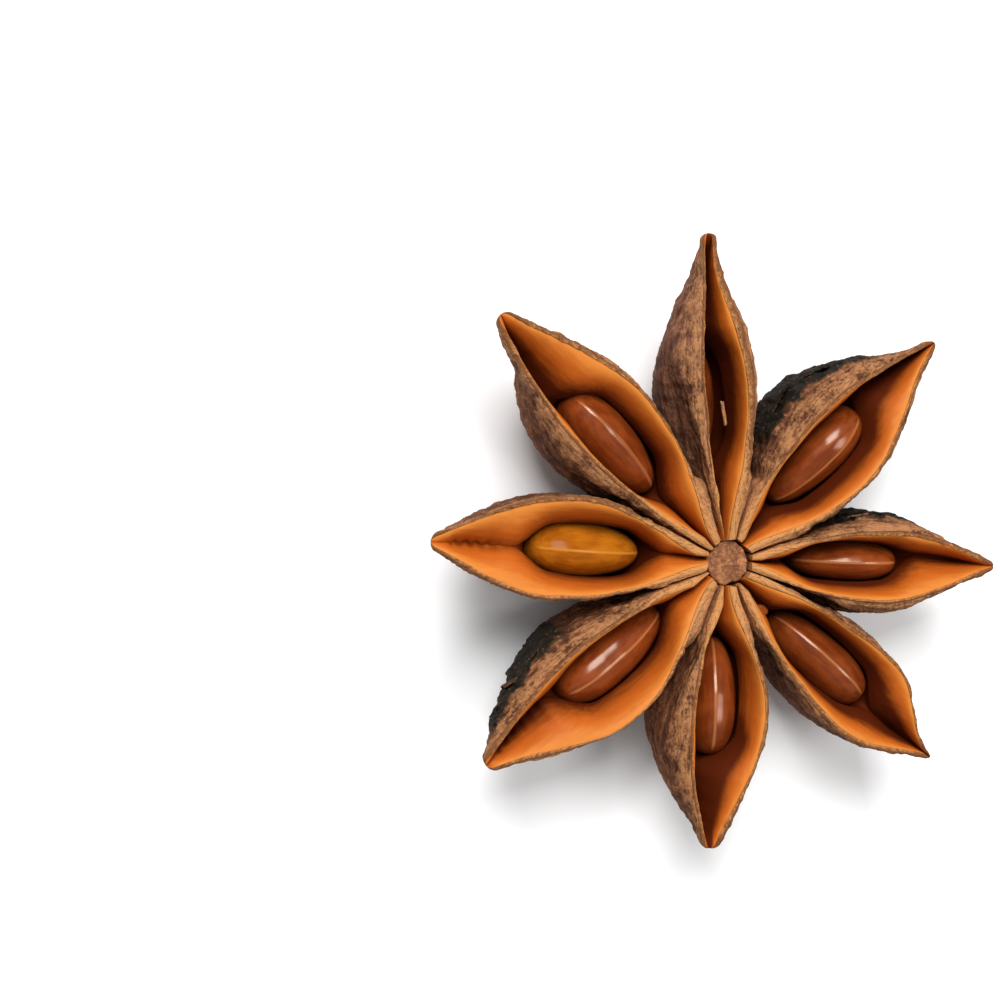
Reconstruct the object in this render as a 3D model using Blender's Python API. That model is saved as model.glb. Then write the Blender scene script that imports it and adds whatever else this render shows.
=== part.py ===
"""A dried star anise fruit, lying with its mouths up.

Eight boat-shaped carpels spread like a star from a woody column. Each has split along its upper seam
into two lips, and holds one glossy seed that stands on edge. The origin is the foot of the column, on
the surface that the fruit lies on. +Z is up, and headings are turned from +X towards +Y.
"""

import math
from collections import namedtuple

import bmesh
import bpy
from mathutils import Matrix, Vector, noise

MM = 0.001

# The woody column in the middle: a stalk scar below, a round top between the carpels' ends.
COLUMN_TOP = 6.5 * MM
COLUMN_RADIUS = 1.14 * MM
COLUMN_WAIST = 0.95 * MM
COLUMN_WAIST_HEIGHT = 2.3 * MM
COLUMN_FOOT = 1.03 * MM
COLUMN_TOP_EDGE = 0.14 * MM
COLUMN_SIDES = 16

# What all carpels share, in their own plane: x runs outwards from the column, y to the left, z up.
CARPEL_START = 1.44 * MM
SEAM = 0.15 * MM
LIPS_AT_COLUMN = 6.45 * MM
LIPS_SWELL_UP = 0.7 * MM
KEEL_AT_COLUMN = 2.0 * MM
KEEL_LOWEST = 0.45
KEEL_RISE = 2.2
WIDEST_LEVEL = 0.56
TIP_ROUNDING = 0.04
TIP_LEAST = 0.3
FLANK_WIDEST = 0.56
FLANK_START_POWER = 1.9
FLANK_END_POWER = 1.25
SEAM_LOW = 4.0 * MM
SEAM_HIGH = 6.3 * MM

# The inside: a thin rim, a swollen band, the hall round the seed, and a groove at both ends of it. The
# groove leaves the slit at the share SLIT_END, and has its full offset from GROOVE_PLACE on.
RIM = 0.3 * MM
SLIT_END = 0.15
GROOVE_PLACE = 0.6
GROOVE_DEPTH = 0.62
GROOVE_LEAST = 0.3 * MM
GROOVE_MOST = 0.6
GROOVE_WIDTH = 0.1 * MM
HALL_ROOM = 0.3 * MM
HALL_END_ROOM = 1.6 * MM
HALL_END_POWER = 0.6
HALL_WIDEST_LEVEL = 0.45
FLOOR = 0.8 * MM

# The seeds: how tall they are on edge, and how much fuller towards their outer ends.
SEED_HEIGHT = 4.2 * MM
SEED_FULLER = 0.12
SEED_SIDES = 12
SEED_RINGS = 8

# Slow unevenness of the flanks, and how far apart two carpels' lumps are drawn from the noise.
LUMP = 0.14 * MM
LUMP_LENGTH = 2.4 * MM
LUMP_STRIDE = 3.1

# Colours of the pieces, and how rough their surfaces are. The seed of carpel w is the unripe, amber one.
SHELL_COLOUR = (0.32, 0.13, 0.04)
SHELL_ROUGHNESS = 0.6
COLUMN_COLOUR = (0.33, 0.17, 0.08)
COLUMN_ROUGHNESS = 0.8
SEED_COLOUR = (0.2, 0.05, 0.015)
AMBER_SEED_COLOUR = (0.42, 0.16, 0.01)
AMBER_SEED = "w"
SEED_ROUGHNESS = 0.2

# How finely a carpel is divided: along it, and over the parts of half its section.
STATIONS = 20
STATION_CROWDING = 0.12
MERGE = 0.002 * MM
SHARP = math.radians(50)
UNDER_STEPS = 3
FLANK_STEPS = 3
BAND_STEPS = 3
HALL_STEPS = 2

# A lip: its greatest distance from the carpel's plane in mm, where along the carpel that is, and how
# slowly it opens before that place and closes after it.
Lip = namedtuple("Lip", "width place start end")

# One row for each carpel. Heading in degrees, all else in mm or shares: the reach, the height and the
# roundness of the tip; how full the beak is; the two lips; the flanks' greatest distances; how far the
# keel leans to the left; where the slit at the column and the groove at the beak lie between the lips; and
# the seed's place along the carpel, its offset to the left, length, thickness and depth under the lips.
Carpel = namedtuple(
    "Carpel",
    "name heading reach tip_height tip beak left right left_flank right_flank keel_lean slit groove"
    " seed_place seed_offset seed_length seed_thickness seed_sink",
)
CARPELS = [
    Carpel(
        "n", 95.9, 17.1, 8.0, 0.33, 1.0, Lip(0.65, 0.58, 1.0, 1.7), Lip(1.4, 0.52, 1.8, 2.0),
        2.4, 2.4, 0.2, 0.3, 0.8, 8.7, 0.2, 6.1, 2.3, 1.45,
    ),
    Carpel(
        "nw", 134.6, 17.8, 7.8, 0.36, 1.0, Lip(1.4, 0.56, 1.6, 0.95), Lip(2.26, 0.54, 1.8, 1.2),
        2.9, 2.9, 0.3, 0.0, 0.9, 8.8, -0.1, 6.7, 2.8, 1.0,
    ),
    Carpel(
        "w", 174.5, 16.0, 7.6, 0.38, 1.0, Lip(2.1, 0.6, 1.5, 1.2), Lip(2.5, 0.53, 1.9, 1.05),
        2.4, 2.6, 0.0, -0.2, 0.0, 7.6, 0.0, 6.4, 2.9, 1.0,
    ),
    Carpel(
        "sw", 216.6, 16.5, 7.9, 0.42, 1.4, Lip(2.65, 0.53, 2.2, 1.4), Lip(1.4, 0.6, 1.1, 1.2),
        3.1, 3.4, -0.6, -0.2, -0.5, 7.95, 0.3, 6.7, 2.9, 1.0,
    ),
    Carpel(
        "s", 266.0, 15.0, 7.4, 0.4, 1.6, Lip(2.1, 0.53, 2.2, 1.3), Lip(1.27, 0.6, 0.95, 1.15),
        2.6, 3.2, -0.6, -0.15, -0.85, 7.3, 0.1, 6.3, 2.8, 1.0,
    ),
    Carpel(
        "se", 316.8, 15.6, 7.0, 0.14, 1.0, Lip(2.17, 0.68, 1.0, 2.3), Lip(2.4, 0.64, 1.0, 1.2),
        2.6, 2.75, 0.2, -0.3, -0.1, 7.85, -0.05, 6.7, 2.8, 1.0,
    ),
    Carpel(
        "e", 358.2, 14.8, 7.2, 0.24, 1.0, Lip(1.6, 0.6, 1.15, 1.1), Lip(1.75, 0.55, 1.3, 1.3),
        2.7, 2.85, 0.2, 0.1, 0.35, 7.1, 0.1, 5.9, 2.2, 1.0,
    ),
    Carpel(
        "ne", 46.7, 16.0, 7.5, 0.25, 1.0, Lip(1.85, 0.53, 0.85, 1.1), Lip(2.2, 0.5, 1.45, 1.8),
        3.9, 2.7, 0.8, 0.2, 0.8, 7.7, 0.0, 6.6, 2.8, 1.0,
    ),
]


def swell(share, widest, start_power, end_power):
    """A long bulge: 0 at both ends of 0..1, and 1 at the share called widest."""
    if share < widest:
        return math.sin(math.pi / 2 * share / widest) ** start_power
    return max(math.cos(math.pi / 2 * (share - widest) / (1 - widest)), 0) ** end_power


def towards(first, second, share):
    return first + (second - first) * share


def smooth(value, low, high):
    """0 below low, 1 above high, and a smooth step between."""
    share = min(max((value - low) / (high - low), 0), 1)
    return share * share * (3 - 2 * share)


def quarter(start, end, share):
    """A point on the quarter of an ellipse that leaves start upright and reaches end level."""
    turn = share * math.pi / 2
    return towards(start[0], end[0], 1 - math.cos(turn)), towards(start[1], end[1], math.sin(turn))


def sides_of(row, side):
    """A carpel's lip and flank on the left (side 1) or the right (side -1)."""
    return (row.left, row.left_flank) if side > 0 else (row.right, row.right_flank)


def room_beside(index, side, x, height):
    """How far out the seam to the next carpel is: it shares the angle between the two as their flanks
    do low down, and as their lips do at the top."""
    row = CARPELS[index]
    other = CARPELS[(index + side) % len(CARPELS)]
    between = math.radians((side * (other.heading - row.heading)) % 360)
    own_lip, own_flank = sides_of(row, side)
    other_lip, other_flank = sides_of(other, -side)
    low = own_flank / (own_flank + other_flank)
    high = (own_lip.width + row.tip) / (own_lip.width + row.tip + other_lip.width + other.tip)
    share = towards(low, high, smooth(height, SEAM_LOW, SEAM_HIGH))
    return math.tan(between * share) * x - SEAM


def lips_height(row, share):
    level = LIPS_AT_COLUMN + (row.tip_height * MM - LIPS_AT_COLUMN) * share
    return level + LIPS_SWELL_UP * math.sin(math.pi * share)


def tip_radius(row, share):
    """The radius that the beak keeps however narrow its lips are. It rounds off at the very end."""
    left = min((1 - share) / TIP_ROUNDING, 1)
    return row.tip * MM * towards(TIP_LEAST, 1, math.sqrt(left * (2 - left)))


def keel_height(row, share):
    if share < KEEL_LOWEST:
        return KEEL_AT_COLUMN * (1 - share / KEEL_LOWEST) ** 2
    along = (share - KEEL_LOWEST) / (1 - KEEL_LOWEST)
    rise = row.tip_height * MM * along ** (KEEL_RISE * row.beak)
    return min(rise, lips_height(row, share) - 2 * tip_radius(row, share))


def lip_out(row, share, side):
    lip, _ = sides_of(row, side)
    return lip.width * MM * swell(share, lip.place, lip.start, lip.end)


def mouth_middle(row, share):
    """Where the two bands meet, to the left of the carpel's plane: in the slit at the column, in the
    groove at the beak, and on the way from one to the other between them."""
    groove = row.groove * lip_out(row, share, 1 if row.groove > 0 else -1)
    return towards(row.slit * MM, groove, smooth(share, SLIT_END, GROOVE_PLACE))


def seed_centre_height(row):
    return lips_height(row, row.seed_place / row.reach) - row.seed_sink * MM - SEED_HEIGHT / 2


def hall_share(row, x):
    """How much of the seed's hall a section cuts: 1 at the seed's middle, 0 past its ends."""
    half = row.seed_length / 2 * MM + HALL_END_ROOM
    away = (x - row.seed_place * MM) / half
    return max(1 - away**2, 0) ** HALL_END_POWER


def half_section(index, share, side):
    """Half of a carpel's section on the left (side 1) or the right (side -1).

    Its points run from the keel up the flank, over the rim and down the band to the floor.
    """
    row = CARPELS[index]
    x = share * row.reach * MM
    top = lips_height(row, share)
    keel = keel_height(row, share)
    widest = towards(keel, top, WIDEST_LEVEL)
    flank_swell = swell(share, FLANK_WIDEST, FLANK_START_POWER, FLANK_END_POWER / row.beak)
    lump = noise.noise(Vector((x / LUMP_LENGTH, index * LUMP_STRIDE, side))) * LUMP
    lip = min(lip_out(row, share, side) + tip_radius(row, share), room_beside(index, side, x, top))
    flank = (sides_of(row, side)[1] * MM + lump) * flank_swell
    keel_at = (side * row.keel_lean * MM * flank_swell, keel)
    flank_at = (max(flank, lip), widest)
    lip_at = (lip, top)

    hall = hall_share(row, x)
    opening = lip_out(row, share, 1) + lip_out(row, share, -1)
    groove = min(max(GROOVE_DEPTH * opening, GROOVE_LEAST), GROOVE_MOST * (top - keel))
    floor = top - groove - (top - groove - keel - FLOOR) * hall
    centre = side * towards(mouth_middle(row, share), row.seed_offset * MM, hall)
    hall_half = (row.seed_thickness / 2 * MM + HALL_ROOM) * hall
    wall_at = (centre + max(hall_half, GROOVE_WIDTH / 2), towards(floor, top, HALL_WIDEST_LEVEL))
    rim_at = (max(lip - RIM, min(centre + GROOVE_WIDTH / 2, lip / 2)), top)
    floor_at = (centre, floor)

    outside = [quarter(flank_at, keel_at, 1 - step / UNDER_STEPS) for step in range(UNDER_STEPS)]
    outside += [quarter(flank_at, lip_at, step / FLANK_STEPS) for step in range(FLANK_STEPS + 1)]
    outside = [(min(across, room_beside(index, side, x, up)), up) for across, up in outside]
    inside = [quarter(wall_at, rim_at, 1 - step / BAND_STEPS) for step in range(BAND_STEPS)]
    inside += [quarter(wall_at, floor_at, step / HALL_STEPS) for step in range(HALL_STEPS + 1)]
    return [(across * side, up) for across, up in outside + inside]


def section(index, share):
    """The closed section: the left half from keel to floor, then the right half back to the keel."""
    return half_section(index, share, 1) + half_section(index, share, -1)[-2:0:-1]


def carpel_mesh(index):
    """A sheet rolled into the boat: one way along the carpel, the other way round its section."""
    reach = CARPELS[index].reach * MM
    first = CARPEL_START / reach
    crowded = math.cos(math.pi * STATION_CROWDING)
    stations = []
    for step in range(STATIONS + 1):
        turn = math.pi * (STATION_CROWDING + (1 - STATION_CROWDING) * step / STATIONS)
        share = first + (1 - first) * (crowded - math.cos(turn)) / (crowded + 1)
        stations.append((share * reach, section(index, share)))
    around = len(stations[0][1])
    bm = bmesh.new()
    bmesh.ops.create_grid(bm, x_segments=STATIONS, y_segments=around, size=1)
    for vert in bm.verts:
        x, points = stations[round((vert.co.x + 1) / 2 * STATIONS)]
        across, up = points[round((vert.co.y + 1) / 2 * around) % around]
        vert.co = (x, across, up)
    bmesh.ops.remove_doubles(bm, verts=bm.verts, dist=MERGE)
    bmesh.ops.holes_fill(bm, edges=bm.edges, sides=0)
    bmesh.ops.recalc_face_normals(bm, faces=bm.faces)
    return bm


def add_object(name, bm, colour, roughness):
    """Turns a bmesh into a smooth-shaded object with its own material."""
    mesh = bpy.data.meshes.new(name)
    bm.to_mesh(mesh)
    bm.free()
    mesh.shade_smooth()
    mesh.set_sharp_from_angle(angle=SHARP)
    material = bpy.data.materials.new(name)
    material.use_nodes = True
    shader = material.node_tree.nodes["Principled BSDF"]
    shader.inputs["Base Color"].default_value = (*colour, 1)
    shader.inputs["Roughness"].default_value = roughness
    shader.inputs["Metallic"].default_value = 0
    mesh.materials.append(material)
    made = bpy.data.objects.new(name, mesh)
    bpy.context.scene.collection.objects.link(made)
    return made


def add_carpel(index):
    row = CARPELS[index]
    made = add_object("carpel_" + row.name, carpel_mesh(index), SHELL_COLOUR, SHELL_ROUGHNESS)
    made.rotation_euler.z = math.radians(row.heading)


def add_seed(index):
    """An ovoid on edge, laid along its carpel."""
    row = CARPELS[index]
    bm = bmesh.new()
    bmesh.ops.create_uvsphere(bm, u_segments=SEED_SIDES, v_segments=SEED_RINGS, radius=1)
    bmesh.ops.rotate(bm, verts=bm.verts, matrix=Matrix.Rotation(math.pi / 2, 3, "Y"))
    size = Vector((row.seed_length * MM, row.seed_thickness * MM, SEED_HEIGHT)) / 2
    for vert in bm.verts:
        fuller = 1 + SEED_FULLER * vert.co.x
        vert.co = size * Vector((vert.co.x, vert.co.y * fuller, vert.co.z * fuller))
    colour = AMBER_SEED_COLOUR if row.name == AMBER_SEED else SEED_COLOUR
    made = add_object("seed_" + row.name, bm, colour, SEED_ROUGHNESS)
    turn = Matrix.Rotation(math.radians(row.heading), 4, "Z")
    made.rotation_euler.z = math.radians(row.heading)
    made.location = turn @ Vector((row.seed_place * MM, row.seed_offset * MM, seed_centre_height(row)))


def add_column():
    """A turned, slightly waisted post with a flat foot and a shallow dip in its top."""
    profile = [
        (0, 0),
        (COLUMN_FOOT, 0),
        (COLUMN_WAIST, COLUMN_WAIST_HEIGHT),
        (COLUMN_RADIUS, COLUMN_TOP - 5 * COLUMN_TOP_EDGE),
        (COLUMN_RADIUS, COLUMN_TOP - COLUMN_TOP_EDGE),
        (COLUMN_RADIUS - COLUMN_TOP_EDGE, COLUMN_TOP),
        (0, COLUMN_TOP - COLUMN_TOP_EDGE / 2),
    ]
    bm = bmesh.new()
    verts = [bm.verts.new((radius, 0, height)) for radius, height in profile]
    edges = [bm.edges.new(pair) for pair in zip(verts, verts[1:])]
    bmesh.ops.spin(
        bm,
        geom=verts + edges,
        cent=(0, 0, 0),
        axis=(0, 0, 1),
        angle=2 * math.pi,
        steps=COLUMN_SIDES,
        use_merge=True,
    )
    bmesh.ops.remove_doubles(bm, verts=bm.verts, dist=MERGE)
    bmesh.ops.recalc_face_normals(bm, faces=bm.faces)
    add_object("columella", bm, COLUMN_COLOUR, COLUMN_ROUGHNESS)


def main():
    for old in list(bpy.data.objects):
        bpy.data.objects.remove(old, do_unlink=True)
    add_column()
    for index in range(len(CARPELS)):
        add_carpel(index)
        add_seed(index)


main()
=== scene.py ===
# %% [markdown]
# # A dried star anise fruit
#
# A star anise fruit is a ring of small wooden boats. Each boat is a carpel: a leaf that closed round a
# seed, dried hard, and split open along its upper edge. The solids that this script loads already have
# that shape at its real size. Here each of them gets its fine form and its finish.

# %% Load the solids
import math
from collections import namedtuple

import bmesh
import bpy
from mathutils import Matrix, Vector, noise


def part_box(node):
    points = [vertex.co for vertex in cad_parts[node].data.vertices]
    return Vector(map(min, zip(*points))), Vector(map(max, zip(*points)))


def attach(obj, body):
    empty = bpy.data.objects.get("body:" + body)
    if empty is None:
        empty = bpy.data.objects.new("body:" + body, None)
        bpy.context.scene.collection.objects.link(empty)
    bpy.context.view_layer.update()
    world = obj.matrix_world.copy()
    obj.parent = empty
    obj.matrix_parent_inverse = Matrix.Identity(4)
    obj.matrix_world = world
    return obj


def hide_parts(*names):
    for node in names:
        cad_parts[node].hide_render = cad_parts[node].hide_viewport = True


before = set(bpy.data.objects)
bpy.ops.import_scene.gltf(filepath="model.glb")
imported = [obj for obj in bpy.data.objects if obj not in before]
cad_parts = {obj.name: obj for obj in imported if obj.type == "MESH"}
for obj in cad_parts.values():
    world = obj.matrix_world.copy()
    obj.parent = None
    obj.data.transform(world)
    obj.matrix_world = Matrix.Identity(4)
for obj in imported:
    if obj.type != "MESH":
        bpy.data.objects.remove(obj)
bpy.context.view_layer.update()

MM = 0.001


# %% [markdown]
# ## Writing a material as sums
#
# Blender's materials are graphs of small nodes. A rough bark needs dozens of them, and in Python that soon
# becomes hard to read. So one small class holds a socket and turns +, -, * and / into Math nodes, and one
# method adds every other node. A material then reads like the sentence that describes it.


# %% Sockets that can be added and multiplied
class Value:
    """A socket that holds one number, for use in sums."""

    def __init__(self, graph, socket):
        self.graph = graph
        self.socket = socket

    def math(self, operation, *others):
        node = self.graph.nodes.new("ShaderNodeMath")
        node.operation = operation
        for place, other in zip(node.inputs, (self, *others)):
            self.graph.put(place, other)
        return Value(self.graph, node.outputs[0])

    def __add__(self, other):
        return self.math("ADD", other)

    def __sub__(self, other):
        return self.math("SUBTRACT", other)

    def __rsub__(self, other):
        return (self * -1).math("ADD", other)

    def __mul__(self, other):
        return self.math("MULTIPLY", other)

    __radd__ = __add__
    __rmul__ = __mul__

    def to_power(self, power):
        return self.math("POWER", power)

    def ramp(self, low, high):
        """0 below low, 1 above high, and a smooth step between. High may be the lower one."""
        settings = {"interpolation_type": "SMOOTHSTEP"}
        values = {"Value": self, "From Min": low, "From Max": high}
        return self.graph.add("ShaderNodeMapRange", settings, values)


class Graph:
    """The node graph of one material."""

    def __init__(self, name):
        self.material = bpy.data.materials.new(name)
        self.material.use_nodes = True
        self.nodes = self.material.node_tree.nodes
        self.links = self.material.node_tree.links
        self.shader = self.nodes["Principled BSDF"]

    def put(self, place, value):
        """Sets a socket to a number, a colour or a vector, or links another socket to it."""
        if isinstance(value, Value):
            self.links.new(value.socket, place)
        elif isinstance(value, bpy.types.NodeSocket):
            self.links.new(value, place)
        else:
            place.default_value = value

    def add(self, kind, settings, values, output=0):
        """Adds any node: its settings first, then what goes into its sockets."""
        node = self.nodes.new(kind)
        for setting, value in settings.items():
            setattr(node, setting, value)
        for name, value in values.items():
            self.put(node.inputs[name], value)
        return Value(self, node.outputs[output])

    def measure(self, name):
        """A number that the mesh carries at each of its points."""
        return self.add("ShaderNodeAttribute", {"attribute_name": name}, {}, "Fac")

    def own_place(self, stretch):
        """The place in the piece's own frame, in mm, squeezed by a factor along each of its axes."""
        place = self.add("ShaderNodeAttribute", {"attribute_name": "own_place"}, {}, "Vector")
        return self.add("ShaderNodeVectorMath", {"operation": "MULTIPLY"}, {0: place, 1: stretch})

    def grain(self, place, scale, detail=3.0, roughness=0.55):
        values = {"Vector": place, "Scale": scale, "Detail": detail, "Roughness": roughness}
        return self.add("ShaderNodeTexNoise", {}, values)

    def blend(self, share, first, second):
        """A colour that goes from the first to the second one as the share goes from 0 to 1."""
        node = self.nodes.new("ShaderNodeMix")
        node.data_type = "RGBA"
        sockets = [place for place in node.inputs if place.enabled]
        for place, value in zip(sockets, (share, first, second)):
            if isinstance(value, tuple):
                value = (*value, 1)
            self.put(place, value)
        return Value(self, next(place for place in node.outputs if place.enabled))

    def finish(self, colour, roughness, height, strength, distance):
        """Feeds the shader: colour, roughness, and small relief as a bump."""
        self.put(self.shader.inputs["Base Color"], colour)
        self.put(self.shader.inputs["Roughness"], roughness)
        values = {"Height": height, "Strength": strength, "Distance": distance}
        self.put(self.shader.inputs["Normal"], self.add("ShaderNodeBump", {}, values))
        return self.material


# %% [markdown]
# ## What the carpels share, and what each has of its own
#
# All the carpels are one kind of thing, so one function can shape them all. But they grew unevenly: one gapes,
# one is nearly shut, one has rolled over and shows its flank. Each gets a row of its own measures. Where it
# points, how far it reaches and how high its tip stands are read from its solid, so nothing can drift apart.

# %% Measures of the carpels
COLUMN_CLEARANCE = 1.22 * MM
SEAM = 0.045 * MM
SEAM_LOW = 4.0 * MM
SEAM_HIGH = 6.3 * MM
LIPS_AT_COLUMN = 6.45 * MM
LIPS_SWELL_UP = 0.7 * MM
KEEL_AT_COLUMN = 2.0 * MM
KEEL_LOWEST = 0.45
KEEL_RISE = 2.2
WIDEST_LEVEL = 0.56
FLANK_START_POWER = 1.9
FLANK_END_POWER = 1.25
FLANK_WIDEST = 0.56

JOINED_TO = 3.2 * MM
PARTED_FROM = 7.6 * MM
SHOULDER_LEVEL = 0.84
RIB_WIDTH = 0.45 * MM
RIB_START = 1.8 * MM
RIB_END = 4.5 * MM
RIM_CROWN = 0.06 * MM
SLIT_END = 0.15
GROOVE_PLACE = 0.6
SLIT_DEPTH = 1.3 * MM
SEED_ROOM = 0.15 * MM
PIT_INNER = 1.2 * MM
PIT_OUTER = 1.0 * MM
HALL_EDGE = 0.5
HALL_BLEND = 0.8

# A lip: its greatest distance from the carpel's plane (mm), where that is, how slowly it opens before that
# place and closes after it, and how wide its torn rim is (mm).
Lip = namedtuple("Lip", "width place start end rim")

# A carpel: how round its tip is (mm), how full its beak, its lips, its flanks' greatest distances and its
# keel's lean to the left (mm); where its slit lies at the column (mm left), where its groove lies at
# the beak (a share of the lip), and how deep and how wide that groove is (mm).
Carpel = namedtuple("Carpel", "name tip beak left right left_flank right_flank keel_lean slit groove depth gap")
CARPELS = [
    Carpel(
        "n", 0.37, 0.75, Lip(0.65, 0.58, 1.0, 1.7, 0.14), Lip(1.4, 0.52, 1.8, 2.0, 0.4),
        2.4, 2.3, 0.2, 0.3, 0.75, 2.6, 0.26,
    ),
    Carpel(
        "nw", 0.36, 0.9, Lip(1.4, 0.56, 1.6, 0.95, 0.18), Lip(2.26, 0.54, 1.8, 1.2, 0.16),
        2.9, 2.9, 0.3, 0.0, 0.9, 2.5, 0.06,
    ),
    Carpel(
        "w", 0.38, 1.0, Lip(2.1, 0.6, 1.5, 1.2, 0.2), Lip(2.5, 0.53, 1.9, 1.05, 0.22),
        2.4, 2.6, 0.0, -0.2, 0.0, 1.1, 0.05,
    ),
    Carpel(
        "sw", 0.42, 1.2, Lip(2.65, 0.53, 2.2, 1.4, 0.18), Lip(1.4, 0.6, 1.1, 1.2, 0.2),
        3.1, 2.8, -0.6, -0.2, -0.5, 1.7, 0.075,
    ),
    Carpel(
        "s", 0.4, 1.1, Lip(2.1, 0.53, 2.2, 1.3, 0.2), Lip(1.27, 0.6, 0.95, 1.15, 0.16),
        2.6, 3.1, -0.6, -0.15, -0.85, 2.8, 0.08,
    ),
    Carpel(
        "se", 0.14, 1.0, Lip(2.17, 0.68, 1.0, 2.3, 0.16), Lip(2.4, 0.64, 1.0, 1.2, 0.26),
        2.6, 2.75, 0.2, -0.3, -0.1, 2.0, 0.06,
    ),
    Carpel(
        "e", 0.24, 1.0, Lip(1.6, 0.6, 1.15, 1.1, 0.18), Lip(1.75, 0.55, 1.3, 1.3, 0.18),
        2.7, 2.85, 0.2, 0.1, 0.35, 2.0, 0.06,
    ),
    Carpel(
        "ne", 0.25, 1.0, Lip(1.85, 0.53, 0.85, 1.1, 0.18), Lip(2.2, 0.5, 1.45, 1.8, 0.18),
        3.6, 2.7, 0.8, 0.2, 0.8, 2.8, 0.06,
    ),
]


# %% Read the places of the carpels and the seeds from their solids
Reach = namedtuple("Reach", "heading length tip_height")
Grain = namedtuple("Grain", "centre half")


def solid_points(node):
    return [vert.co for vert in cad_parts[node].data.vertices]


def reach_of(node):
    """The heading, the length and the height of a carpel's tip, which is its farthest point."""
    tip = max(solid_points(node), key=lambda point: point.xy.length)
    return Reach(math.atan2(tip.y, tip.x), tip.xy.length, tip.z)


def seed_of(node, heading):
    """The middle and the half sizes of a seed in its carpel's own frame."""
    back = Matrix.Rotation(-heading, 3, "Z")
    points = [back @ point for point in solid_points(node)]
    low = Vector([min(point[axis] for point in points) for axis in range(3)])
    high = Vector([max(point[axis] for point in points) for axis in range(3)])
    return Grain((low + high) / 2, (high - low) / 2)


REACHES = {row.name: reach_of("carpel_" + row.name) for row in CARPELS}
SEEDS = {row.name: seed_of("seed_" + row.name, REACHES[row.name].heading) for row in CARPELS}
for row in CARPELS:
    found = REACHES[row.name]
    print(row.name, "points to", round(math.degrees(found.heading)), "and is", round(found.length / MM, 1), "mm long")


# %% [markdown]
# ## The curves of a carpel
#
# A carpel is worked out as slices across it, like the frames of a boat. Three curves run along the boat: the two
# lips, the flanks and the keel. At each slice, quarters of ellipses join keel, flank and lip on the outside, and
# rim, band and seed hall on the inside.


# %% Curves along a carpel
def swell(share, place, start, end):
    """A long bulge: 0 at both ends of 0..1, and 1 at the place given."""
    if share < place:
        return math.sin(math.pi / 2 * share / place) ** start
    return max(math.cos(math.pi / 2 * (share - place) / (1 - place)), 0) ** end


def smooth(value, low, high):
    """0 below low, 1 above high, and a smooth step between."""
    share = min(max((value - low) / (high - low), 0), 1)
    return share * share * (3 - 2 * share)


def towards(first, second, share):
    return first + (second - first) * share


def quarter(start, end, share):
    """A point on the quarter of an ellipse that leaves start upright and reaches end level."""
    turn = share * math.pi / 2
    return towards(start[0], end[0], 1 - math.cos(turn)), towards(start[1], end[1], math.sin(turn))


def sides_of(row, side):
    """A carpel's lip and flank on the left (side 1) or the right (side -1)."""
    return (row.left, row.left_flank) if side > 0 else (row.right, row.right_flank)


def room_beside(index, side, x, height):
    """How far out the seam to the next carpel is: it shares the angle between the two as their flanks do
    low down, and as their lips do at the top."""
    row = CARPELS[index]
    other = CARPELS[(index + side) % len(CARPELS)]
    between = (side * (REACHES[other.name].heading - REACHES[row.name].heading)) % (2 * math.pi)
    own_lip, own_flank = sides_of(row, side)
    other_lip, other_flank = sides_of(other, -side)
    low = own_flank / (own_flank + other_flank)
    high = (own_lip.width + row.tip) / (own_lip.width + row.tip + other_lip.width + other.tip)
    return math.tan(between * towards(low, high, smooth(height, SEAM_LOW, SEAM_HIGH))) * x - SEAM


def lips_height(row, share):
    level = towards(LIPS_AT_COLUMN, REACHES[row.name].tip_height, share)
    return level + LIPS_SWELL_UP * math.sin(math.pi * share)


def keel_height(row, share):
    if share < KEEL_LOWEST:
        return KEEL_AT_COLUMN * (1 - share / KEEL_LOWEST) ** 2
    along = (share - KEEL_LOWEST) / (1 - KEEL_LOWEST)
    rise = REACHES[row.name].tip_height * along ** (KEEL_RISE * row.beak)
    return min(rise, lips_height(row, share) - 2 * row.tip * MM)


def lip_out(row, share, side):
    lip, _ = sides_of(row, side)
    return lip.width * MM * swell(share, lip.place, lip.start, lip.end)


def mouth_middle(row, share):
    """Where the two bands meet, to the left of the carpel's plane: in the slit at the column, in the
    groove at the beak, and on the way from one to the other between them."""
    groove = row.groove * lip_out(row, share, 1 if row.groove > 0 else -1)
    return towards(row.slit * MM, groove, smooth(share, SLIT_END, GROOVE_PLACE))


# %% [markdown]
# ## One slice
#
# Half a slice runs from the keel up the flank, over the crown of the rim, down the swollen band and round the
# hall in which the seed lies. Near the column the rim is a broad round rib, and the hall is only a slit. Past
# the seed the two bands meet in a groove that rises to the tip.

# %% Half a slice of a carpel
UNDER_STEPS = 16
FLANK_STEPS = 42
RIM_STEPS = 8
BAND_STEPS = 22
HALL_STEPS = 14
LIP_WAVE = 0.07 * MM
BAND_ROUND = 0.55
RIM_PLACE = UNDER_STEPS + FLANK_STEPS
SKIN, RIM, BAND, HALL = range(4)

# Where a beak is cracked along its groove: from one share of its length to another, and how far the
# crack's teeth swing.
CRACKS = {"w": (0.76, 0.95, 0.09 * MM), "sw": (0.74, 0.97, 0.11 * MM)}
CRACK_NEARNESS = 7
CRACK_DEPTH = 0.2 * MM
SEED_TILT = math.radians(12)
TOOTH = 0.3 * MM


def seed_tilt(row):
    """Seeds lie with their outer ends a little up, but for one that sits deep in its nearly shut carpel."""
    return 0 if row.name == "n" else SEED_TILT


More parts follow.
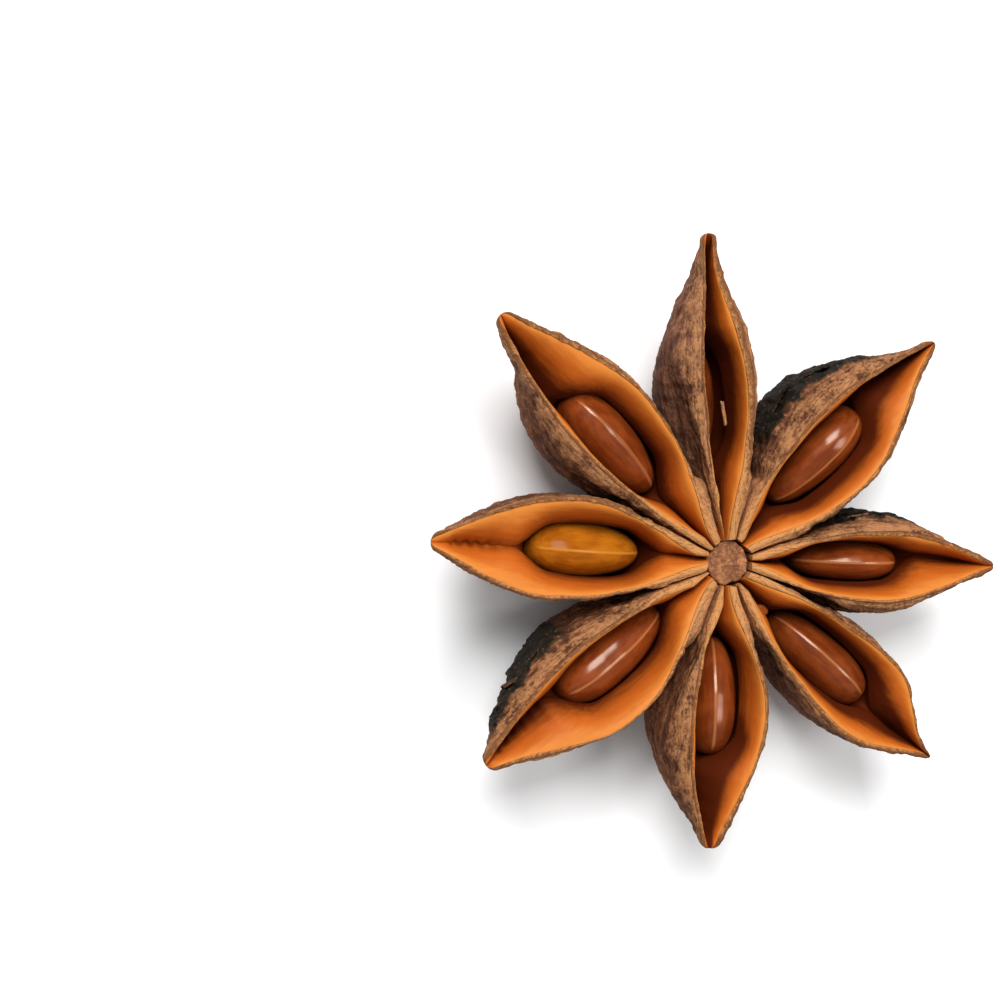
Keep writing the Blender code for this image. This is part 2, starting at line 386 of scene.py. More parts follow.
def lip_wave(index, x, side, salt):
    """Small unevenness of a lip, the same each run: one slow wave and one quick one."""
    slow = noise.noise(Vector((x / (1.9 * MM), index * 5.7, side * 2.3 + salt)))
    quick = noise.noise(Vector((x / (0.45 * MM), index * 3.3, side * 4.1 + salt)))
    return (slow + 0.22 * quick) * LIP_WAVE * smooth(x, 3 * MM, 6 * MM)


def crack_share(row, share):
    """How open the crack in a carpel's beak is at this share of its length."""
    if row.name not in CRACKS:
        return 0
    start, end, _ = CRACKS[row.name]
    return smooth(share, start, start + 0.03) * (1 - smooth(share, end - 0.03, end))


def crack_swing(row, share, x):
    """How far the crack's teeth carry the groove to the left: a zigzag of uneven teeth."""
    if row.name not in CRACKS:
        return 0
    phase = x / TOOTH + 0.6 * noise.noise(Vector((x / TOOTH, 2.5, 0)))
    zigzag = abs(phase % 2 - 1) * 2 - 1
    return zigzag * CRACKS[row.name][2] * crack_share(row, share)


def half_slice(index, share, side):
    """Points (across, up, zone) of half a slice, from the keel over flank, rim and band into the hall."""
    row = CARPELS[index]
    lip, flank = sides_of(row, side)
    x = share * REACHES[row.name].length
    top = lips_height(row, share) + lip_wave(index, x, side, 9)
    keel = keel_height(row, share)
    joined = 1 - smooth(x, JOINED_TO, PARTED_FROM)
    widest = towards(keel, top, towards(WIDEST_LEVEL, SHOULDER_LEVEL, joined))
    bulge = swell(share, FLANK_WIDEST, FLANK_START_POWER, FLANK_END_POWER / row.beak)
    out = lip_out(row, share, side) + row.tip * MM + lip_wave(index, x, side, 0)
    out = min(out, room_beside(index, side, x, top))
    shoulder = joined * room_beside(index, side, x, widest)
    flank_at = (max(flank * MM * bulge, out, shoulder), widest)
    keel_at = (side * row.keel_lean * MM * bulge, keel)
    lip_at = (out, top)

    seed = SEEDS[row.name]
    pit_middle = seed.centre.x + (PIT_OUTER - PIT_INNER) / 2
    away = (x - pit_middle) / (seed.half.x + (PIT_OUTER + PIT_INNER) / 2)
    hall = math.sqrt(max(1 - away * away, 0))
    blend = smooth(hall * hall, 0, HALL_BLEND)
    rib = 1 - smooth(x, RIB_START, RIB_END)
    rim = towards(lip.rim * MM, RIB_WIDTH, rib)
    middle = side * mouth_middle(row, share)
    swing = side * crack_swing(row, share, x)
    slit = middle + row.gap / 2 * MM * (1 + crack_share(row, share))
    depth = towards(SLIT_DEPTH, row.depth * MM, smooth(share, 0.1, 0.35)) * (1 - smooth(share, 0.86, 1.0))
    depth = min(depth + CRACK_DEPTH * crack_share(row, share), (top - keel) * 0.7)
    edge = math.sqrt(1 - HALL_EDGE**2)
    seed_up = seed.centre.z + (x - seed.centre.x) * math.tan(seed_tilt(row))
    hall_across = (seed.half.y + SEED_ROOM) * hall
    hall_up = (seed.half.z + SEED_ROOM) * hall
    wall_at = (
        towards(slit, side * seed.centre.y + hall_across * edge, blend),
        towards(top - depth, seed_up + hall_up * HALL_EDGE, blend),
    )
    inner = max(out - rim, slit + 0.02 * MM)
    inner = min(inner, out - 0.05 * MM)
    rim_at = (inner, top)

    points = []
    for step in range(UNDER_STEPS):
        points.append((*quarter(flank_at, keel_at, 1 - step / UNDER_STEPS), SKIN))
    for step in range(FLANK_STEPS):
        points.append((*quarter(flank_at, lip_at, step / FLANK_STEPS), SKIN))
    points = [(min(across, room_beside(index, side, x, up)), up, zone) for across, up, zone in points]
    for step in range(RIM_STEPS):
        along = step / RIM_STEPS
        crown = RIM_CROWN * (1 + rib) * math.sin(math.pi * along)
        points.append((towards(out, inner, along), top + crown, RIM))
    for step in range(BAND_STEPS):
        along = 1 - step / BAND_STEPS
        rounded, up = quarter(wall_at, rim_at, along)
        straight = towards(wall_at[0], rim_at[0], math.sin(math.pi / 2 * along))
        torn = swing * (1 - along) ** CRACK_NEARNESS
        points.append((towards(straight, rounded, BAND_ROUND) + torn, up, BAND))
    first = math.acos(HALL_EDGE)
    for step in range(HALL_STEPS + 1):
        along = step / HALL_STEPS
        turn = towards(first, math.pi, along)
        round_seed = (
            side * seed.centre.y + hall_across * math.sin(turn),
            seed_up + hall_up * math.cos(turn),
        )
        in_groove = (towards(slit, middle, along), top - depth - 0.05 * MM * along)
        across = towards(in_groove[0], round_seed[0], blend) + swing
        up = towards(in_groove[1], round_seed[1], blend)
        points.append((across, up, HALL))
    return [(across * side, up, zone) for across, up, zone in points]


def slice_points(index, share):
    """The closed slice: the left half from keel to floor, then the right half back to the keel."""
    return half_slice(index, share, 1) + half_slice(index, share, -1)[-2:0:-1]


print("a slice has", len(slice_points(0, 0.5)), "points")


# %% [markdown]
# ## Rolling a sheet into a boat
#
# The quickest way to a skin that follows such slices is a flat grid from Blender's own operator. One way along the
# grid becomes the length of the carpel, the other way goes round its slice. The two long edges meet on the keel
# and are merged. Each point also keeps its place in the carpel's own frame and what part it belongs to, so
# that the finish can run with the fibres wherever the carpel points.

# %% Relief of the dried skin
STATIONS = 180
TIP_ROUND = 0.3 * MM
MERGE = 0.0005 * MM
SHARP = math.radians(60)
SKIN_LUMP = 0.2 * MM
SKIN_WRINKLE = 0.11 * MM
SKIN_CROSS = 0.07 * MM
SKIN_GRAIN = 0.06 * MM
CRUST = 0.3 * MM
CARPEL_STRIDE = 31.0

# How much painted shade darkens the lining beside the seed and in the beak, how mauve the skin is, and how
# much painted shade darkens the seed.
Tone = namedtuple("Tone", "hall beak mauve seed")
TONES = {
    "n": Tone(0.35, 0.6, 0.9, 0.45),
    "nw": Tone(0.0, 0.2, 0.35, 0.0),
    "w": Tone(-0.1, -0.2, 0.2, 0.0),
    "sw": Tone(-0.1, 0.1, 0.1, 0.0),
    "s": Tone(-0.15, 1.4, 0.2, 0.1),
    "se": Tone(0.35, 0.7, 0.1, 0.15),
    "e": Tone(0.25, 0.0, 0.3, 0.0),
    "ne": Tone(0.45, 0.8, 0.25, 0.0),
}

# Where the skin is scorched to a black crust: the carpel, its side, from one share of its length to
# another, and how far below the lips that begins (mm).
Scorch = namedtuple("Scorch", "carpel side start end below")
SCORCHES = [
    Scorch("ne", 1, 0.34, 0.88, 1.0),
    Scorch("sw", -1, 0.50, 0.97, 0.9),
    Scorch("e", 1, 0.35, 0.75, 0.9),
    Scorch("nw", 1, 0.10, 0.45, 1.2),
]


def scorched(row, side, share, below, own):
    """How scorched the skin is at this share of the length and this far below the lips, from 0 to 1."""
    most = 0
    for patch in SCORCHES:
        if (patch.carpel, patch.side) == (row.name, side):
            ragged = 0.5 * noise.noise(own * 1.3)
            reach = smooth(share, patch.start, patch.start + 0.08) * (1 - smooth(share, patch.end - 0.08, patch.end))
            nearest = patch.below * (1.3 - 0.8 * share)
            most = max(most, reach * smooth(below + ragged, nearest, nearest + 0.35))
    return most


def skin_relief(own):
    """How far the dried skin stands out at a place in the carpel's own frame (mm), in metres, and how
    much of a wrinkle's crest that place is."""
    along = Vector((own.x * 0.35, own.y, own.z))
    lump = noise.noise(along * 0.42)
    wrinkle = 0.5 - abs(noise.noise(along * 1.9))
    cross = noise.noise(Vector((own.x * 1.5, own.y * 0.3, own.z * 0.5)))
    grain = noise.fractal(own * 2.6, 1.0, 2.0, 3)
    height = lump * SKIN_LUMP + wrinkle * SKIN_WRINKLE + cross * SKIN_CROSS + grain * SKIN_GRAIN
    return height, wrinkle + 0.4 * cross + 0.4 * grain


def crust_relief(own):
    """How far a scorched crust stands out: broken scales with steps between them."""
    cell = noise.cell(Vector((own.x * 1.3, own.y * 1.6, own.z * 1.6)))
    return (0.35 + 0.4 * cell + 0.4 * noise.noise(own * 1.9)) * CRUST


# %% Build a carpel's shell
def carpel_shell(index):
    row = CARPELS[index]
    length = REACHES[row.name].length
    first = COLUMN_CLEARANCE / length
    slices = []
    for step in range(STATIONS + 1):
        share = towards(first, 1, 1 - (1 - step / STATIONS) ** 1.15)
        points = slice_points(index, share)
        left = length * (1 - share)
        if left < TIP_ROUND:
            shrink = math.sqrt(max(1 - (1 - left / TIP_ROUND) ** 2, 0))
            across = sum(point[0] for point in points) / len(points)
            up = sum(point[1] for point in points) / len(points)
            points = [(towards(across, p[0], shrink), towards(up, p[1], shrink), p[2]) for p in points]
        slices.append((share * length, share, points))
    around = len(slices[0][2])
    bm = bmesh.new()
    bmesh.ops.create_grid(bm, x_segments=STATIONS, y_segments=around, size=1)
    own_place = bm.verts.layers.float_vector.new("own_place")
    lining = bm.verts.layers.float.new("lining")
    rim = bm.verts.layers.float.new("rim")
    deep = bm.verts.layers.float.new("deep")
    inward = bm.verts.layers.float.new("inward")
    rim_share = bm.verts.layers.float.new("rim_share")
    along = bm.verts.layers.float.new("along")
    crest = bm.verts.layers.float.new("crest")
    painted_shade = bm.verts.layers.float.new("painted_shade")
    mauve = bm.verts.layers.float.new("mauve")
    scorch = bm.verts.layers.float.new("scorch")
    for vert in bm.verts:
        station = round((vert.co.x + 1) / 2 * STATIONS)
        x, share, points = slices[station]
        place = round((vert.co.y + 1) / 2 * around) % around
        across, up, zone = points[place]
        vert.co = (x, across, up)
        vert[own_place] = vert.co / MM + Vector((CARPEL_STRIDE * index, 0, 0))
        vert[lining] = 1 if zone in (BAND, HALL) else 0
        vert[rim] = 1 if zone == RIM else 0
        from_keel = min(place, around - place)
        vert[rim_share] = min(max((from_keel - RIM_PLACE) / RIM_STEPS, 0), 1)
        vert[inward] = min(max((from_keel - RIM_PLACE - RIM_STEPS) / BAND_STEPS, 0), 1)
        vert[deep] = max(lips_height(row, share) - up, 0) / MM
        vert[along] = share
        tone = TONES[row.name]
        # painted shade drawn into this carpel's lining, beside the seed and in the beak
        vert[painted_shade] = towards(tone.hall, tone.beak, smooth(share, 0.5, 0.75))
        vert[mauve] = tone.mauve
    bmesh.ops.remove_doubles(bm, verts=bm.verts, dist=MERGE)
    bmesh.ops.holes_fill(bm, edges=bm.edges, sides=0)
    bmesh.ops.recalc_face_normals(bm, faces=bm.faces)
    bm.normal_update()
    for vert in bm.verts:
        own = vert[own_place]
        height, vert[crest] = skin_relief(own)
        keep = 0.15 if vert[lining] else (0.7 if vert[rim] else 1.0)
        ends = smooth(vert.co.x, 1.2 * MM, 4.5 * MM) * (1 - smooth(vert[along], 0.93, 1.0) * 0.7)
        if not vert[lining] and not vert[rim]:
            vert[scorch] = scorched(row, 1 if vert.co.y > 0 else -1, vert[along], vert[deep], own)
        vert.co += vert.normal * (height * keep + crust_relief(own) * vert[scorch]) * ends
        vert.co.z = max(vert.co.z, 0)
    bmesh.ops.rotate(bm, verts=bm.verts, cent=(0, 0, 0), matrix=Matrix.Rotation(REACHES[row.name].heading, 3, "Z"))
    return bm


def add_piece(name, bm, node, material):
    """Makes a smooth-shaded object that stands for a node and moves with it."""
    mesh = bpy.data.meshes.new(name)
    bm.to_mesh(mesh)
    bm.free()
    mesh.shade_smooth()
    mesh.set_sharp_from_angle(angle=SHARP)
    mesh.materials.append(material)
    piece = bpy.data.objects.new(name, mesh)
    bpy.context.scene.collection.objects.link(piece)
    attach(piece, "root")
    if node:
        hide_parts(node)
    print(name, "has", sum(len(face.vertices) - 2 for face in mesh.polygons), "triangles")
    return piece


# %% [markdown]
# ## The finish of a carpel
#
# Outside, the skin is dead bark: grey-brown and mauve, tan where it is rubbed and where light is painted on the
# crests of its wrinkles and near the lips, nearly black where it is scorched.
# Inside, the lining is smooth as horn and caramel, with painted light near the rim and painted shade that turns it
# red-brown in the deep. The rim between them is a thin pale line of torn wood.

# %% Skin, rim and lining
BARK_DARK = (0.058, 0.020, 0.010)
BARK_BROWN = (0.205, 0.068, 0.026)
BARK_MAUVE = (0.21, 0.092, 0.055)
BARK_TAN = (0.43, 0.195, 0.078)
BARK_CREASE = (0.022, 0.009, 0.006)
RIB_TAN = (0.50, 0.225, 0.095)
CRUST_BLACK = (0.011, 0.009, 0.006)
RIM_PALE = (0.50, 0.225, 0.078)
RIM_BROWN = (0.18, 0.070, 0.026)
# painted light and shade of the lining: gold where light falls near the rim, red-brown in its shade
LINING_LIT_GOLD = (0.57, 0.185, 0.029)
CARAMEL = (0.44, 0.094, 0.009)
LINING_SHADE_RED_BROWN = (0.080, 0.012, 0.002)


def carpel_finish():
    graph = Graph("carpel")
    place = graph.own_place((0.5, 1, 1))
    patches = graph.grain(place, 0.6, 4.0, 0.6)
    streaks = graph.grain(graph.own_place((0.22, 1.3, 1.3)), 3.2, 4.0, 0.6)
    specks = graph.grain(graph.own_place((0.8, 1, 1)), 6.5, 4.0, 0.65)
    crest = graph.measure("crest")
    deep = graph.measure("deep")
    body = graph.blend(graph.measure("mauve"), BARK_BROWN, BARK_MAUVE)
    # dark mottles; the crests of the wrinkles lean a little away from the dark, a painted light
    bark = graph.blend((patches * 0.4 + streaks * 0.6 + crest * 0.12).ramp(0.36, 0.66), BARK_DARK, body)
    near_lip = 1 - deep.ramp(0.1, 1.6)
    # tan: rubbed specks and streaks, and painted light on the crests of the wrinkles and near the lips
    rubbed_and_lit = (crest * 0.35 + specks * 1.2 + streaks * 0.6 + near_lip * 0.3).ramp(1.02, 1.46)
    bark = graph.blend(rubbed_and_lit * 0.75, bark, BARK_TAN)
    at_column = graph.measure("along").ramp(0.42, 0.1)
    bark = graph.blend((at_column * (0.4 + streaks)).ramp(0.1, 0.8) * 0.85, bark, RIB_TAN)
    fibres = graph.grain(graph.own_place((0.09, 1.5, 1.5)), 3.0, 3.0, 0.5)
    crease = (fibres - 0.5).math("ABSOLUTE").ramp(0.03, 0.004)
    bark = graph.blend(crease * 0.6, bark, BARK_CREASE)
    bark = graph.blend(graph.measure("scorch") * specks.ramp(0.85, 0.52), bark, CRUST_BLACK)

    # painted shade: the lining darkens inwards from the rim and with depth, more in carpels given more painted shade;
    # the streaks add its own uneven tone
    shade = (graph.measure("inward") * 0.7 + deep * 0.24) * (graph.measure("painted_shade") + 1) + streaks * 0.42
    lining = graph.blend(shade.ramp(0.18, 0.70), LINING_LIT_GOLD, CARAMEL)
    lining = graph.blend(shade.ramp(0.62, 1.32), lining, LINING_SHADE_RED_BROWN)
    worn_tip = graph.measure("along").ramp(0.92, 1.0)
    torn = graph.measure("rim_share") * 0.6 + specks * 1.3 + streaks * 0.4 + at_column * 0.7 - worn_tip * 0.5
    torn = graph.blend(torn.ramp(1.0, 1.6), RIM_BROWN, RIM_PALE)
    torn = graph.blend(crease * 0.5, torn, BARK_DARK)
    inside = graph.measure("lining")
    on_rim = graph.measure("rim")
    colour = graph.blend(inside.ramp(0.3, 0.7), bark, lining)
    colour = graph.blend(on_rim.ramp(0.2, 0.8), colour, torn)
    roughness = 0.8 - inside * 0.3
    height = specks * (1 - inside * 0.92) + streaks * (0.8 - inside * 0.7)
    graph.shader.inputs["Specular IOR Level"].default_value = 0.1
    return graph.finish(colour, roughness, height, 0.7, 0.12 * MM)


CARPEL_FINISH = carpel_finish()
for index, row in enumerate(CARPELS):
    shell = add_piece("shell_" + row.name, carpel_shell(index), "carpel_" + row.name, CARPEL_FINISH)


# %% [markdown]
# ## Torn bits
#
# Where the skin has burst, small flakes stand up and curl. Each is a grid bent into a curl and given a thickness
# by the solidify operator. In one carpel the stump of the seed's stalk is left as a bead.

# %% Flakes and a stalk stump
Flake = namedtuple("Flake", "carpel share out below length width turn tilt scorch")
FLAKES = [
    Flake("n", 0.46, -0.25, 0.75, 1.2, 0.28, 4, 62, 0.2),
    Flake("sw", 0.70, -2.35, 2.0, 1.6, 0.9, 12, -45, 1.0),
    Flake("sw", 0.77, -2.1, 2.0, 1.3, 0.9, -10, -60, 0.9),
    Flake("sw", 0.83, -1.7, 1.8, 1.4, 0.8, 14, -50, 1.0),
    Flake("ne", 0.53, 3.45, 2.2, 1.7, 1.1, 15, 30, 1.0),
    Flake("ne", 0.67, 3.1, 2.1, 1.5, 1.1, -20, 40, 1.0),
    Flake("e", 0.50, 2.45, 1.6, 1.0, 0.8, 10, 45, 0.6),
]
FLAKE_THICKNESS = 0.09 * MM
FLAKE_CURL = 0.5
STUMP = Vector((0.42, 0.26, 0.26)) * MM


def set_in(bm, row, share, out, below, turn, tilt):
    """Turns and tilts a bit (degrees), and sets it into its carpel: out to the left and below the lips (mm)."""
    place = Vector((share * REACHES[row.name].length, out * MM, lips_height(row, share) - below * MM))
    bend = Matrix.Rotation(math.radians(turn), 4, "Z") @ Matrix.Rotation(math.radians(tilt), 4, "X")
    heading = Matrix.Rotation(REACHES[row.name].heading, 4, "Z")
    bmesh.ops.transform(bm, verts=bm.verts, matrix=heading @ Matrix.Translation(place) @ bend)


def flake_body(flake, index):
    bm = bmesh.new()
    bmesh.ops.create_grid(bm, x_segments=16, y_segments=10, size=0.5)
    for vert in bm.verts:
        ragged = 1 + 0.35 * noise.noise(Vector((vert.co.x * 4, vert.co.y * 4, index * 3.0)))
        curl = FLAKE_CURL * (2 * vert.co.y) ** 2 * flake.width * MM / 2
        vert.co = (vert.co.x * flake.length * MM * ragged, vert.co.y * flake.width * MM * ragged, curl)
    bmesh.ops.solidify(bm, geom=bm.faces[:], thickness=FLAKE_THICKNESS)
    bmesh.ops.recalc_face_normals(bm, faces=bm.faces)
    own_place = bm.verts.layers.float_vector.new("own_place")
    scorch = bm.verts.layers.float.new("scorch")
    crest = bm.verts.layers.float.new("crest")
    for vert in bm.verts:
        vert[own_place] = vert.co / MM + Vector((CARPEL_STRIDE * index, 5, 5))
        vert[scorch] = flake.scorch
        vert[crest] = 0.35
    row = next(row for row in CARPELS if row.name == flake.carpel)
    set_in(bm, row, flake.share, flake.out, flake.below, flake.turn, flake.tilt)
    return bm


def stump_body():
    bm = bmesh.new()
    bmesh.ops.create_uvsphere(bm, u_segments=20, v_segments=14, radius=1)
    own_place = bm.verts.layers.float_vector.new("own_place")
    lining = bm.verts.layers.float.new("lining")
    deep = bm.verts.layers.float.new("deep")
    for vert in bm.verts:
        swollen = 1 + 0.25 * noise.noise(vert.co * 1.7)
        vert.co = vert.co * STUMP * swollen
        vert[own_place] = vert.co / MM
        vert[lining] = 1
        # as deep as a seed's hall, so that the lining's painted shade makes the stump red-brown
        vert[deep] = 3.6
    set_in(bm, CARPELS[5], 0.21, -0.5, 1.0, 10, 0)
    return bm


for index, flake in enumerate(FLAKES):
    bit = add_piece(f"flake_{flake.carpel}_{index}", flake_body(flake, index), None, CARPEL_FINISH)
stump = add_piece("stalk_stump", stump_body(), None, CARPEL_FINISH)


# %% [markdown]
# ## The seeds
#
# A seed is a flattened ovoid that stands on its edge, hard and glossy. A fine ridge runs along its crest, where
# its coat closed, and a pale line is painted along it: partly the seam's own colour, partly a painted highlight.
# A sphere from Blender's operator is a good start: it is stretched to the solid's size, made a little fuller at
# its outer end, and its crest is pinched up into the ridge.

# %% Build a seed
SEED_SIDES = 64
SEED_RINGS = 72
RIDGE_HEIGHT = 0.05 * MM
RIDGE_WIDTH = 0.11 * MM
SEED_FULLER = 0.12
SEED_FULLNESS = 0.8

# How a seed differs from its solid: longer, thicker, shifted outwards and to the left (mm), and where
# its ridge runs across it (1 is its left side, -1 its right side).
Fit = namedtuple("Fit", "length thickness out left ridge")
EXACT_FIT = Fit(1.0, 1.0, 0.0, 0.0, 0.0)
FITS = {
    "n": Fit(0.95, 0.85, 0.0, 0.25, 0.0),
    "nw": Fit(1.03, 1.08, 0.0, 0.05, -0.15),
    "sw": Fit(1.08, 1.1, -0.2, -0.12, 0.1),
    "s": Fit(1.0, 1.0, 0.0, 0.0, -0.2),
    "se": Fit(1.0, 1.03, 0.0, 0.0, 0.1),
    "ne": Fit(1.0, 1.05, 0.0, 0.0, -0.3),
}


def seed_body(index):
    row = CARPELS[index]
    seed = SEEDS[row.name]
    fit = FITS.get(row.name, EXACT_FIT)
    half = Vector((seed.half.x * fit.length, seed.half.y * fit.thickness, seed.half.z))
    centre = seed.centre + Vector((fit.out, fit.left, 0)) * MM
    tilt = Matrix.Rotation(-seed_tilt(row), 3, "Y")
    bm = bmesh.new()
    bmesh.ops.create_uvsphere(bm, u_segments=SEED_SIDES, v_segments=SEED_RINGS, radius=1)
    bmesh.ops.rotate(bm, verts=bm.verts, matrix=Matrix.Rotation(math.pi / 2, 3, "Y"))
    own_place = bm.verts.layers.float_vector.new("own_place")
    ridge = bm.verts.layers.float.new("ridge")
    painted_shade = bm.verts.layers.float.new("painted_shade")
    for vert in bm.verts:
        unit = vert.co.copy()
        girth = max(math.hypot(unit.y, unit.z), 0.01)
        fuller = min(girth ** (SEED_FULLNESS - 1) * (1 + SEED_FULLER * unit.x), 1 / girth)
        point = Vector((unit.x * half.x, unit.y * fuller * half.y, unit.z * fuller * half.z))
        off_ridge = (point.y - fit.ridge * half.y * girth) / RIDGE_WIDTH
        near = math.exp(-(off_ridge**2)) * smooth(girth, 0.15, 0.5) if unit.z > 0 else 0
        point.z += RIDGE_HEIGHT * near
        wobble = noise.noise(point / MM * 0.5 + Vector((index * 7.0, 0, 0)))
        point *= 1 + 0.02 * wobble
        vert[ridge] = near
        vert[painted_shade] = TONES[row.name].seed
        vert[own_place] = point / MM + Vector((CARPEL_STRIDE * index, 0, 0))
        vert.co = tilt @ point + centre
    bmesh.ops.rotate(bm, verts=bm.verts, cent=(0, 0, 0), matrix=Matrix.Rotation(REACHES[row.name].heading, 3, "Z"))
    bmesh.ops.recalc_face_normals(bm, faces=bm.faces)
    return bm


# %% The finish of the seeds
SEED_PAINTED_SHADE = (0.03, 0.006, 0.002)


def seed_finish(name, body, lighter, line, gloss):
    graph = Graph(name)
    streaks = graph.grain(graph.own_place((0.25, 1.6, 1.6)), 2.2, 3.0, 0.5)
    clouds = graph.grain(graph.own_place((1, 1, 1)), 0.7, 2.0, 0.5)
    colour = graph.blend((streaks * 0.5 + clouds * 0.5).ramp(0.38, 0.64), body, lighter)
    # a pale line painted along the ridge: partly the seam's own colour, partly a painted highlight
    colour = graph.blend(graph.measure("ridge").ramp(0.35, 0.95) * 0.7, colour, line)
    # painted shade: seeds that lie in shade, most of all the deep one in the nearly shut carpel, are drawn darker
    colour = graph.blend(graph.measure("painted_shade"), colour, SEED_PAINTED_SHADE)
    graph.shader.inputs["Specular IOR Level"].default_value = gloss
    graph.shader.inputs["Specular Tint"].default_value = (1.0, 0.86, 0.72, 1)
    return graph.finish(colour, 0.15 + clouds * 0.1, clouds, 0.08, 0.1 * MM)


CHESTNUT = seed_finish("seed_chestnut", (0.14, 0.024, 0.004), (0.23, 0.046, 0.008), (0.42, 0.15, 0.045), 0.45)
AMBER = seed_finish("seed_amber", (0.27, 0.068, 0.003), (0.40, 0.122, 0.006), (0.52, 0.21, 0.03), 0.1)
AMBER_CARPEL = "w"
for index, row in enumerate(CARPELS):
    is_amber = row.name == AMBER_CARPEL
    kernel = add_piece("kernel_" + row.name, seed_body(index), "seed_" + row.name, AMBER if is_amber else CHESTNUT)


# %% [markdown]
# ## The column
#
# The column ends between the carpels in a round, rough knob of wood, ringed by cracks. It is turned like a post:
# a profile is spun round the axis, and then the wood's relief is pushed into it.

# %% Build the column
COLUMN_SIDES = 96
COLUMN_LOW, COLUMN_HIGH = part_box("columella")
COLUMN_TOP = COLUMN_HIGH[2]
COLUMN_RADIUS = COLUMN_HIGH[0]
COLUMN_RELIEF = 0.09 * MM
COLUMN_WOBBLE = 0.1


def column_body():
    profile = [(0, 0), (COLUMN_RADIUS * 0.88, 0), (COLUMN_RADIUS * 0.84, COLUMN_TOP * 0.35)]
    profile += [(COLUMN_RADIUS * (0.9 + 0.1 * step / 12), COLUMN_TOP * towards(0.6, 0.96, step / 12)) for step in range(13)]
    for step in range(1, 9):
        turn = math.pi / 2 * step / 8
        edge = 0.14 * MM
        profile.append((COLUMN_RADIUS - edge * (1 - math.cos(turn)), COLUMN_TOP - edge * (1 - math.sin(turn))))
    profile += [(COLUMN_RADIUS * 0.86 * (1 - step / 14), COLUMN_TOP) for step in range(1, 14)]
    profile.append((0, COLUMN_TOP))
    bm = bmesh.new()
    verts = [bm.verts.new((radius, 0, height)) for radius, height in profile]
    edges = [bm.edges.new(pair) for pair in zip(verts, verts[1:])]
    bmesh.ops.spin(
        bm, geom=verts + edges, cent=(0, 0, 0), axis=(0, 0, 1), angle=2 * math.pi, steps=COLUMN_SIDES, use_merge=True
    )
    bmesh.ops.remove_doubles(bm, verts=bm.verts, dist=MERGE)
    bmesh.ops.recalc_face_normals(bm, faces=bm.faces)
    own_place = bm.verts.layers.float_vector.new("own_place")
    relief = bm.verts.layers.float.new("relief")
    bm.normal_update()
    for vert in bm.verts:
        own = vert.co / MM
        vert[own_place] = own
        outline = noise.noise(Vector((own.x, own.y, 0)).normalized() * 1.6)
        vert.co.xy *= 1 + COLUMN_WOBBLE * outline
        grain = noise.fractal(own * 2.4, 1.0, 2.0, 3)
        height = (noise.noise(own * 1.1) * 0.6 + grain) * COLUMN_RELIEF
        vert[relief] = height / MM
        if vert.co.z > COLUMN_TOP * 0.1:
            vert.co += vert.normal * height
    return bm


def column_finish():
    graph = Graph("column")
    grain = graph.grain(graph.own_place((1, 1, 0.4)), 3.4, 4.0, 0.65)
    specks = graph.grain(graph.own_place((1, 1, 1)), 9.0, 3.0, 0.6)
    worn = (graph.measure("relief") * 3.0 + grain).ramp(0.35, 0.8)
    colour = graph.blend(worn, (0.16, 0.052, 0.016), (0.36, 0.135, 0.045))
    colour = graph.blend((specks * 0.6 + grain * 0.4).ramp(0.5, 0.68), colour, (0.46, 0.20, 0.075))
    return graph.finish(colour, 0.8, grain + specks, 0.6, 0.12 * MM)


knob = add_piece("knob", column_body(), "columella", column_finish())


# %% [markdown]
# ## Floor, light and camera
#
# A white table, a soft window of light from behind, a small lamp on the right that puts a glint on each seed, and
# a bright room all round: the usual way to show food on white. The camera looks down with a slant, so that the
# flanks on one side show.

# %% Floor
FLOOR_BELOW = 0.02 * MM


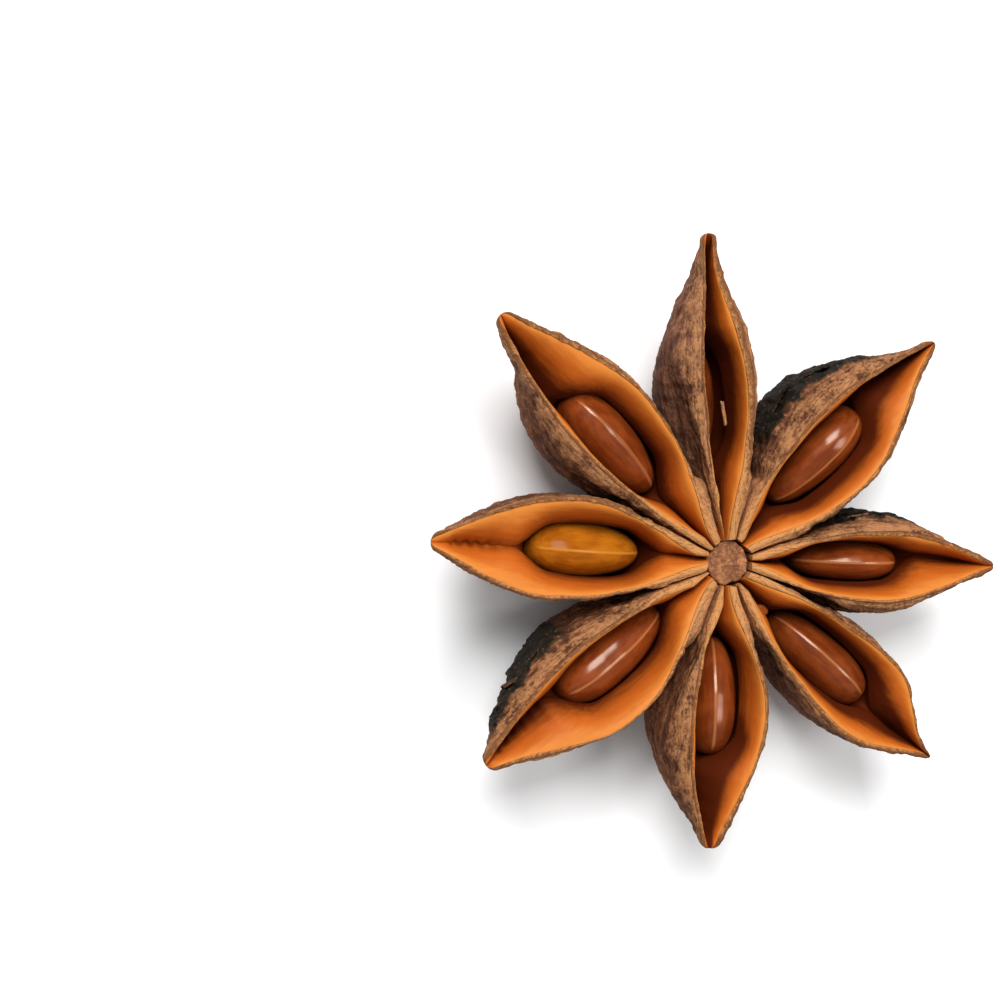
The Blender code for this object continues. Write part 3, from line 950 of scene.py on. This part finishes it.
def add_floor():
    bm = bmesh.new()
    bmesh.ops.create_grid(bm, x_segments=1, y_segments=1, size=0.6)
    bmesh.ops.translate(bm, verts=bm.verts, vec=(0, 0, -FLOOR_BELOW))
    mesh = bpy.data.meshes.new("floor")
    bm.to_mesh(mesh)
    bm.free()
    graph = Graph("floor")
    graph.shader.inputs["Base Color"].default_value = (0.95, 0.95, 0.95, 1)
    graph.shader.inputs["Roughness"].default_value = 0.9
    mesh.materials.append(graph.material)
    floor = bpy.data.objects.new("floor", mesh)
    bpy.context.scene.collection.objects.link(floor)


add_floor()


# %% Light
def add_window(name, place, size, power):
    """A square lamp that faces the middle of the fruit."""
    lamp = bpy.data.lights.new(name, "AREA")
    lamp.size = size
    lamp.energy = power
    holder = bpy.data.objects.new(name, lamp)
    holder.location = place
    holder.rotation_euler = Vector(place).to_track_quat("Z", "Y").to_euler()
    bpy.context.scene.collection.objects.link(holder)


add_window("window", (-0.04, 0.13, 0.20), 0.12, 0.68)
add_window("lamp", (0.12, -0.01, 0.25), 0.10, 0.27)
world = bpy.data.worlds.new("room")
world.use_nodes = True
world.node_tree.nodes["Background"].inputs["Color"].default_value = (1, 1, 1, 1)
world.node_tree.nodes["Background"].inputs["Strength"].default_value = 0.33
bpy.context.scene.world = world
bpy.context.scene.view_settings.view_transform = "Standard"


# %% Camera
SENSOR = 36.0
LENS = 1.54
PICTURE_WIDTH = 52.5 * MM
LEAN = math.radians(11.3)
LEAN_TOWARDS = math.radians(165)
KNOB_RIGHT = 0.229
KNOB_BELOW = 0.063
KNOB_HEIGHT = 6.6 * MM


def add_camera():
    """Stands the camera so that the knob shows right of the middle and a little below it."""
    back = Vector((math.cos(LEAN_TOWARDS) * math.sin(LEAN), math.sin(LEAN_TOWARDS) * math.sin(LEAN), math.cos(LEAN)))
    right = Vector((0, 1, 0)).cross(back).normalized()
    up = back.cross(right)
    data = bpy.data.cameras.new("camera")
    data.sensor_width = SENSOR
    data.lens = SENSOR * LENS
    data.clip_start = 1 * MM
    camera = bpy.data.objects.new("camera", data)
    knob_from_camera = (right * KNOB_RIGHT - up * KNOB_BELOW - back * LENS) * PICTURE_WIDTH
    camera.matrix_world = Matrix((right, up, back)).transposed().to_4x4()
    camera.location = Vector((0, 0, KNOB_HEIGHT)) - knob_from_camera
    bpy.context.scene.collection.objects.link(camera)
    bpy.context.scene.camera = camera


add_camera()
